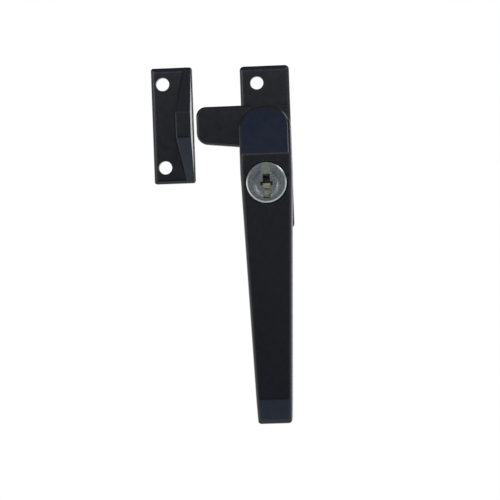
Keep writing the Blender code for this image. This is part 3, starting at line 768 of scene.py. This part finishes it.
def makePlug(size, pin):
    sides = extentOf("lock_plug")
    clip = extentOf("plug_clip")
    back, front = sides["back"], sides["front"]
    face = (sides["right"] - sides["left"]) / 2
    faceBack = front - size["faceThickness"]
    play = 0.1 * mm
    profile = roundedOutline([
        (0, back, 0), (size["rotor"], back, 0.2 * mm), (size["rotor"], clip["back"] - play, 0.05 * mm),
        (size["neck"], clip["back"] - play, 0.05 * mm), (size["neck"], clip["front"] + play, 0.05 * mm),
        (size["rotor"], clip["front"] + play, 0.05 * mm), (size["rotor"], faceBack, 0.1 * mm),
        (face, faceBack, 0.1 * mm), (face, front - size["rimDrop"], 0.15 * mm),
        (face - size["rim"], front, 0.3 * mm), (0, front, 0),
    ], 4)
    plug = turned("lockPlug", profile, z=lockZ, steps=128)
    for finish in plugFinishes:
        plug.data.materials.append(finish)
    over = front + past
    dish = turned("dish", roundedOutline([
        (0, front - size["dishDepth"], 0), (size["dishFloor"], front - size["dishDepth"], 0.5 * mm),
        (size["dish"], front, 0), (size["dish"] + past, over, 0), (0, over, 0)], 6),
        z=lockZ - size["dishDrop"])
    key = size["keyHalf"]
    ward = size["wardHalf"]
    keyOutline = boxOutline(-key, key, lockZ - size["keyBelow"], lockZ + size["keyAbove"], 0.15 * mm, 3)
    wardOutline = boxOutline(-ward, ward, lockZ + size["wardBottom"], lockZ + size["wardTop"], 0.12 * mm, 3)
    channelOutline = boxOutline(-size["channelHalf"], size["channelHalf"], lockZ + size["keyAbove"],
                                lockZ + face + past, 0.3 * mm, 4)
    channel = block("channel", channelOutline, front - size["channelDepth"], over)
    boltBore = block("boltBore", discOutline(size["boltBore"], lockZ, 64), back - past,
                     extentOf("lock_bolt")["front"] + size["boltPlay"])
    # faces opened by these cutters take the darker brass, a painted shade inside the lock
    cutters = leaving(
        shadedKeywayBrass,
        block("keyway", keyOutline, size["keyEnd"], over),
        block("wards", wardOutline, size["keyEnd"], over),
        boltBore, helixCutter(size["rotor"], pin))
    for i in range(5):
        wafer = extentOf(f"wafer_{i + 1}")
        middle = (wafer["back"] + wafer["front"]) / 2
        side = 1 if wafer["right"] > -wafer["left"] else -1
        slotHalf = (wafer["front"] - wafer["back"]) / 2 + size["slotPlay"]
        slotOutline = boxOutline(-waferSlotHalf, waferSlotHalf,
                                 lockZ - size["rotor"] - past, lockZ + size["rotor"] + past)
        ends = sorted((side * size["pocketInner"], side * size["pocketOuter"]))
        pocket = boxOutline(*ends, lockZ + size["pocketBottom"], lockZ + size["pocketTop"], 0.2 * mm, 3)
        # the slots and pockets also take the darker brass as painted shade
        cutters += leaving(
            shadedKeywayBrass,
            block("slot", slotOutline, middle - slotHalf, middle + slotHalf),
            block("pocket", pocket, middle - size["pocketHalf"], middle + size["pocketHalf"]))
    cut(plug, *cutters, dish, *leaving(channelBrass, channel))
    shade(plug, 25)
    hand(plug, "plug", ["lock_plug"], "nickel")


waferSize = {
    "half": 2.6 * mm, "edge": 0.04 * mm, "tabBottom": 0.5 * mm, "tabTop": 1.5 * mm,
    "windowHalf": 1.5 * mm, "windowHeight": 3.8 * mm, "windowLow": -0.2 * mm,
    "cuts": (0.0, -0.4 * mm, -0.7 * mm, -0.2 * mm, -0.5 * mm),    # each window's offset
}


def makeWafers(size):
    for i in range(5):
        node = f"wafer_{i + 1}"
        sides = extentOf(node)
        side = 1 if sides["right"] > -sides["left"] else -1
        half = size["half"]
        tab = max(sides["right"], -sides["left"])
        corners = [(-half, sides["bottom"], 0.3 * mm), (half, sides["bottom"], 0.3 * mm),
                   (half, lockZ + size["tabBottom"], 0.05 * mm), (tab, lockZ + size["tabBottom"], 0.15 * mm),
                   (tab, lockZ + size["tabTop"], 0.15 * mm), (half, lockZ + size["tabTop"], 0.05 * mm),
                   (half, sides["top"], 0.3 * mm), (-half, sides["top"], 0.3 * mm)]
        outline = [(side * x, z) for x, z in roundedOutline(corners, 4)]
        plate = block(f"wafer{i + 1}", outline, sides["back"], sides["front"])
        low = lockZ + size["windowLow"] + size["cuts"][i]
        high = low + size["windowHeight"]
        window = boxOutline(-size["windowHalf"], size["windowHalf"], low, high, 0.15 * mm, 4)
        cut(plate, block("window", window, sides["back"] - past, sides["front"] + past))
        soften(plate, size["edge"])
        shade(plate)
        hand(plate, "plug", [node], "brass", brass)


barrelSize = {"bore": 6.35 * mm, "groove": 7.0 * mm, "slotStart": 3.1 * mm, "slotPlay": 0.3 * mm}


def makeBarrel(size, pin):
    sides = extentOf("lock_barrel")
    clip = extentOf("barrel_clip")
    outer = (sides["right"] - sides["left"]) / 2
    play = 0.15 * mm
    groove = size["groove"]
    profile = roundedOutline([
        (size["bore"], sides["back"], 0.1 * mm), (outer, sides["back"], 0.2 * mm),
        (outer, clip["back"] - play, 0.05 * mm), (groove, clip["back"] - play, 0.05 * mm),
        (groove, clip["front"] + 0.3 * mm, 0.05 * mm), (outer, clip["front"] + 0.3 * mm, 0.05 * mm),
        (outer, sides["front"], 0.1 * mm), (size["bore"], sides["front"], 0.1 * mm),
    ], 4)
    barrel = turned("lockBarrel", profile, z=lockZ, closed=True, steps=128)
    lastWafer = extentOf("wafer_5")
    tall = size["bore"] + 0.467 * mm
    broach = block("broach", boxOutline(-waferSlotHalf, waferSlotHalf, lockZ - tall, lockZ + tall),
                   lastWafer["back"] - 1.05 * mm, sides["front"] + past)
    wide = pin["radius"] + size["slotPlay"]
    slot = block("guideSlot", boxOutline(size["slotStart"], outer + past, lockZ - wide, lockZ + wide),
                 pin["depth"] - boltTravel - wide, pin["depth"] + wide)
    cut(barrel, broach, slot)
    shade(barrel)
    hand(barrel, "handle", ["lock_barrel"], "nickel", nickel)


def rod(name, radius, start, end, depth, edge):
    # a round bar along X at the lock's height
    profile = roundedOutline([(0, start, 0), (radius, start, edge), (radius, end, edge), (0, end, 0)], 4)
    bar = turned(name, profile, steps=48)
    bar.data.transform(Matrix.Translation((0, -depth, lockZ)) @ Matrix.Rotation(math.pi / 2, 4, "Z"))
    return bar


boltSize = {"tipEdge": 0.45 * mm, "headEdge": 0.15 * mm, "pinPlay": 0.15 * mm}


def makeBolt(size, pin):
    sides = extentOf("lock_bolt")
    radius = sides["right"]
    profile = roundedOutline([(0, sides["back"], 0), (radius, sides["back"], size["tipEdge"]),
                              (radius, sides["front"], size["headEdge"]), (0, sides["front"], 0)], 6)
    bolt = turned("lockBolt", profile, z=lockZ)
    hole = pin["radius"] + size["pinPlay"]
    cut(bolt, rod("crossHole", hole, -radius - past, radius + past, pin["depth"], 0))
    shade(bolt)
    hand(bolt, "bolt", ["lock_bolt"], "plated_steel", steel)
    pinSides = extentOf("bolt_guide_pin")
    guide = rod("guidePin", pin["radius"], pinSides["left"], pinSides["right"], pin["depth"], pin["edge"])
    shade(guide)
    hand(guide, "bolt", ["bolt_guide_pin"], "plated_steel", steel)


makePlug(plugSize, pinSize)
makeWafers(waferSize)
makeBarrel(barrelSize, pinSize)
makeBolt(boltSize, pinSize)
print("lock made")


# clips and springs, grown from node trees

def newTree(name, sockets):
    tree = bpy.data.node_groups.new(name, "GeometryNodeTree")
    tree.is_modifier = True
    tree.interface.new_socket("Geometry", in_out="INPUT", socket_type="NodeSocketGeometry")
    for socketName, kind in sockets:
        tree.interface.new_socket(socketName, in_out="INPUT", socket_type=kind)
    tree.interface.new_socket("Geometry", in_out="OUTPUT", socket_type="NodeSocketGeometry")
    return tree, tree.nodes.new("NodeGroupInput"), tree.nodes.new("NodeGroupOutput")


def finishTree(tree, source, output, shape):
    real = tree.nodes.new("GeometryNodeRealizeInstances")
    dressed = tree.nodes.new("GeometryNodeSetMaterial")
    tree.links.new(shape, real.inputs["Geometry"])
    tree.links.new(real.outputs["Geometry"], dressed.inputs["Geometry"])
    tree.links.new(source.outputs["Material"], dressed.inputs["Material"])
    tree.links.new(dressed.outputs["Geometry"], output.inputs["Geometry"])


def coilTree():
    tree, source, output = newTree("coil springs", [
        ("Turns", "NodeSocketFloat"), ("Coil Radius", "NodeSocketFloat"), ("Wire Radius", "NodeSocketFloat"),
        ("Height", "NodeSocketFloat"), ("Material", "NodeSocketMaterial")])
    nodes, links = tree.nodes, tree.links
    spiral = nodes.new("GeometryNodeCurveSpiral")
    spiral.inputs["Resolution"].default_value = 28
    links.new(source.outputs["Turns"], spiral.inputs["Rotations"])
    links.new(source.outputs["Coil Radius"], spiral.inputs["Start Radius"])
    links.new(source.outputs["Coil Radius"], spiral.inputs["End Radius"])
    links.new(source.outputs["Height"], spiral.inputs["Height"])
    wire = nodes.new("GeometryNodeCurvePrimitiveCircle")
    wire.inputs["Resolution"].default_value = 10
    links.new(source.outputs["Wire Radius"], wire.inputs["Radius"])
    swept = nodes.new("GeometryNodeCurveToMesh")
    swept.inputs["Fill Caps"].default_value = True
    links.new(spiral.outputs["Curve"], swept.inputs["Curve"])
    links.new(wire.outputs["Curve"], swept.inputs["Profile Curve"])
    spread = nodes.new("GeometryNodeInstanceOnPoints")
    links.new(source.outputs["Geometry"], spread.inputs["Points"])
    links.new(swept.outputs["Mesh"], spread.inputs["Instance"])
    finishTree(tree, source, output, spread.outputs["Instances"])
    return tree


def clipTree():
    tree, source, output = newTree("spring clip", [
        ("Radius", "NodeSocketFloat"), ("Width", "NodeSocketFloat"), ("Thickness", "NodeSocketFloat"),
        ("Opening", "NodeSocketFloat"), ("Corner", "NodeSocketFloat"), ("Centre", "NodeSocketVector"),
        ("Material", "NodeSocketMaterial")])
    nodes, links = tree.nodes, tree.links
    start = nodes.new("ShaderNodeMath")
    start.operation = "MULTIPLY_ADD"
    start.inputs[1].default_value = 0.5
    start.inputs[2].default_value = -math.pi / 2
    sweep = nodes.new("ShaderNodeMath")
    sweep.operation = "SUBTRACT"
    sweep.inputs[0].default_value = 2 * math.pi
    links.new(source.outputs["Opening"], start.inputs[0])
    links.new(source.outputs["Opening"], sweep.inputs[1])
    arc = nodes.new("GeometryNodeCurveArc")
    arc.inputs["Resolution"].default_value = 72
    links.new(source.outputs["Radius"], arc.inputs["Radius"])
    links.new(start.outputs[0], arc.inputs["Start Angle"])
    links.new(sweep.outputs[0], arc.inputs["Sweep Angle"])
    section = nodes.new("GeometryNodeCurvePrimitiveQuadrilateral")
    links.new(source.outputs["Width"], section.inputs["Width"])
    links.new(source.outputs["Thickness"], section.inputs["Height"])
    eased = nodes.new("GeometryNodeFilletCurve")
    eased.mode = "POLY"
    eased.inputs["Count"].default_value = 3
    links.new(section.outputs["Curve"], eased.inputs["Curve"])
    links.new(source.outputs["Corner"], eased.inputs["Radius"])
    swept = nodes.new("GeometryNodeCurveToMesh")
    swept.inputs["Fill Caps"].default_value = True
    links.new(arc.outputs["Curve"], swept.inputs["Curve"])
    links.new(eased.outputs["Curve"], swept.inputs["Profile Curve"])
    upright = nodes.new("GeometryNodeTransform")
    upright.inputs["Rotation"].default_value = (math.pi / 2, 0, 0)
    links.new(swept.outputs["Mesh"], upright.inputs["Geometry"])
    links.new(source.outputs["Centre"], upright.inputs["Translation"])
    finishTree(tree, source, output, upright.outputs["Geometry"])
    return tree


def grow(name, tree, points, values):
    # a plain mesh from the tree, which starts from the points
    mesh = bpy.data.meshes.new(name)
    mesh.from_pydata(points, [], [])
    thing = bpy.data.objects.new(name, mesh)
    bpy.context.scene.collection.objects.link(thing)
    modifier = thing.modifiers.new(tree.name, "NODES")
    modifier.node_group = tree
    for socket in tree.interface.items_tree:
        if socket.in_out == "INPUT" and socket.name in values:
            modifier[socket.identifier] = values[socket.name]
    settle(thing)
    bm = bmesh.new()
    bm.from_mesh(thing.data)
    bmesh.ops.recalc_face_normals(bm, faces=bm.faces)
    bm.to_mesh(thing.data)
    bm.free()
    shade(thing)
    return thing


springSize = {"turns": 3.5, "coil": 0.45 * mm, "wire": 0.12 * mm, "low": -3.4 * mm, "high": 0.2 * mm}


def makeSprings(size):
    names = [f"wafer_spring_{i + 1}" for i in range(5)]
    points = []
    for name in names:
        sides = extentOf(name)
        points.append((sides["midX"], -(sides["back"] + sides["front"]) / 2, lockZ + size["low"]))
    springs = grow("waferSprings", coilTree(), points, {
        "Turns": size["turns"], "Coil Radius": size["coil"], "Wire Radius": size["wire"],
        "Height": size["high"] - size["low"], "Material": steel})
    hand(springs, "plug", names, "plated_steel")


clipSize = {
    "opening": math.radians(70), "corner": 0.08 * mm, "barrelInner": 7.15 * mm, "plugInner": 5.75 * mm,
}


def makeClip(tree, name, node, body, inner, size):
    sides = extentOf(node)
    outer = (sides["right"] - sides["left"]) / 2
    middle = (sides["back"] + sides["front"]) / 2
    clip = grow(name, tree, [(0, 0, 0)], {
        "Radius": (outer + inner) / 2, "Width": outer - inner,
        "Thickness": sides["front"] - sides["back"], "Opening": size["opening"], "Corner": size["corner"],
        "Centre": (0, -middle, lockZ), "Material": steel})
    hand(clip, body, [node], "plated_steel")


makeSprings(springSize)
clips = clipTree()
makeClip(clips, "barrelClip", "barrel_clip", "handle", clipSize["barrelInner"], clipSize)
makeClip(clips, "plugClip", "plug_clip", "plug", clipSize["plugInner"], clipSize)
print("clips and springs made")


# floor, light and camera

floorSize = {"radius": 0.75, "thickness": 0.01, "behind": 0.45, "height": -0.35, "glow": 0.4}


def makeFloor(size):
    floor = turned("floor", [(size["radius"], 0), (size["radius"], size["thickness"])], steps=64)
    place = Matrix.Translation((0, size["behind"], size["height"]))
    floor.data.transform(place @ Matrix.Rotation(math.pi / 2, 4, "X"))
    material, tree, shader = newFinish("floor", (0.8, 0.8, 0.8), 0.6, 0.0)
    tree.links.new(blendOf(tree, noiseOn(tree, 3, 2), (0.78, 0.78, 0.78), (0.82, 0.82, 0.82)),
                   shader.inputs["Base Color"])
    shader.inputs["Emission Color"].default_value = (1, 1, 1, 1)
    shader.inputs["Emission Strength"].default_value = size["glow"]
    floor.data.materials.append(material)


makeFloor(floorSize)

# what each height of the room shines with, in front of the fastener and beside it: (degrees up, colour)
frontRoom = [
    (-60, (0.55, 0.60, 0.70)), (-38, (1.30, 1.60, 2.20)), (-31, (1.15, 1.40, 2.00)),
    (-26, (0.14, 0.28, 0.38)), (-18, (0.05, 0.06, 0.10)),
    (-4.5, (0.19, 0.19, 0.24)), (-2.5, (0.18, 0.18, 0.22)),
    (-0.5, (0.40, 0.40, 0.42)), (2.5, (0.12, 0.13, 0.16)), (5.5, (0.03, 0.04, 0.07)),
    (8, (0.16, 0.18, 0.24)), (10.5, (2.20, 2.20, 2.20)), (13, (2.20, 2.20, 2.20)), (16, (0.18, 0.28, 0.60)),
    (23, (0.14, 0.28, 0.76)), (28, (0.30, 0.33, 0.50)), (36, (0.42, 0.44, 0.55)), (46, (0.65, 0.66, 0.70)),
    (60, (0.60, 0.60, 0.64)), (75, (0.35, 0.35, 0.38)),
]
sideRoom = [
    (-70, (0.4, 0.4, 0.42)), (-25, (1.1, 1.1, 1.12)), (-5, (1.3, 1.3, 1.32)), (6, (1.3, 1.3, 1.32)),
    (18, (0.22, 0.22, 0.24)), (80, (0.2, 0.2, 0.22)),
]
backRoom = [
    (-60, (0.5, 0.5, 0.52)), (-20, (1.8, 1.8, 1.8)), (7, (1.8, 1.8, 1.8)), (15, (0.2, 0.2, 0.22)),
    (80, (0.2, 0.2, 0.22)),
]
roomTones = {"right": (0.75, 0.75, 0.77), "behind": (0.2, 0.2, 0.21)}


def makeRoom(front, side, back, tones):
    world = bpy.data.worlds.new("studio")
    bpy.context.scene.world = world
    world.use_nodes = True
    tree = world.node_tree
    nodes, links = tree.nodes, tree.links
    nodes.clear()
    direction = nodes.new("ShaderNodeTexCoord")
    split = nodes.new("ShaderNodeSeparateXYZ")
    links.new(direction.outputs["Generated"], split.inputs["Vector"])
    height = rangeOf(tree, split.outputs["Z"], 0, 1, -1, 1)

    def rampOf(rows):
        ramp = nodes.new("ShaderNodeValToRGB")
        stops = ramp.color_ramp.elements
        stops.remove(stops[1])
        for i, (degrees, colour) in enumerate(rows):
            position = (math.sin(math.radians(degrees)) + 1) / 2
            stop = stops.new(position) if i else stops[0]
            stop.position = position
            stop.color = (*colour, 1)
        links.new(height, ramp.inputs["Fac"])
        return ramp.outputs["Color"]

    def mixed(axis, start, stop, one, other, kind="MIX"):
        return blendOf(tree, rangeOf(tree, split.outputs[axis], 0, 1, start, stop), one, other, kind)

    beside = mixed("X", 0.2, 0.7, rampOf(side), tones["right"], "MULTIPLY")
    beside = mixed("Y", 0.1, 0.5, beside, rampOf(back))
    around = mixed("Y", -0.45, -0.95, beside, rampOf(front))
    whole = mixed("Y", 0.975, 0.99, around, tones["behind"])
    lit = nodes.new("ShaderNodeBackground")
    links.new(whole, lit.inputs["Color"])
    paper = nodes.new("ShaderNodeBackground")
    paper.inputs["Color"].default_value = (1, 1, 1, 1)
    seen = nodes.new("ShaderNodeLightPath")
    either = nodes.new("ShaderNodeMixShader")
    links.new(seen.outputs["Is Camera Ray"], either.inputs["Fac"])
    links.new(lit.outputs["Background"], either.inputs[1])
    links.new(paper.outputs["Background"], either.inputs[2])
    output = nodes.new("ShaderNodeOutputWorld")
    links.new(either.outputs["Shader"], output.inputs["Surface"])


makeRoom(frontRoom, sideRoom, backRoom, roomTones)

lampSizes = {
    "shoulderLamp": {"towards": (0.69, -0.22, 0.69), "distance": 0.8, "width": 0.26, "radiance": 6.0},
    "dishLamp": {"towards": (0.47, -0.80, 0.37), "distance": 0.8, "width": 0.13, "radiance": 8.0},
    "leftLamp": {"towards": (-0.58, -0.80, 0.12), "distance": 0.8, "width": 0.14, "radiance": 3.0},
}


def makeLamp(name, size):
    lamp = bpy.data.lights.new(name, "AREA")
    lamp.size = size["width"]
    lamp.energy = size["radiance"] * math.pi * size["width"] ** 2
    holder = bpy.data.objects.new(name, lamp)
    bpy.context.scene.collection.objects.link(holder)
    towards = Vector(size["towards"]).normalized()
    holder.location = towards * size["distance"]
    holder.rotation_euler = towards.to_track_quat("Z", "Y").to_euler()


for lampName, lampSize in lampSizes.items():
    makeLamp(lampName, lampSize)

cameraSetup = {
    "lens": 118.5,                 # on a 36 mm sensor
    "distance": 0.650,
    "yaw": math.radians(2.6),      # to the right of square on
    "roll": math.radians(2.06),
    "across": 6.79 * mm,           # the plate's middle, right of the view's centre
    "above": 40.49 * mm,           # and above it
}


def aimCamera(setup):
    yaw, roll = setup["yaw"], setup["roll"]
    ahead = Vector((-math.sin(yaw), math.cos(yaw), 0))
    level = Vector((math.cos(yaw), math.sin(yaw), 0))
    upright = Vector((0, 0, 1))
    right = math.cos(roll) * level - math.sin(roll) * upright
    up = math.sin(roll) * level + math.cos(roll) * upright
    place = -(setup["distance"] * ahead + setup["across"] * right + setup["above"] * up)
    lens = bpy.data.cameras.new("camera")
    lens.lens = setup["lens"]
    lens.sensor_width = 36
    lens.clip_start = 0.01
    lens.clip_end = 20
    camera = bpy.data.objects.new("camera", lens)
    bpy.context.scene.collection.objects.link(camera)
    turn = Matrix((right, up, -ahead)).transposed().to_4x4()
    camera.matrix_world = Matrix.Translation(place) @ turn
    bpy.context.scene.camera = camera


aimCamera(cameraSetup)
bpy.context.scene.view_settings.view_transform = "Standard"
print("stage and camera set")
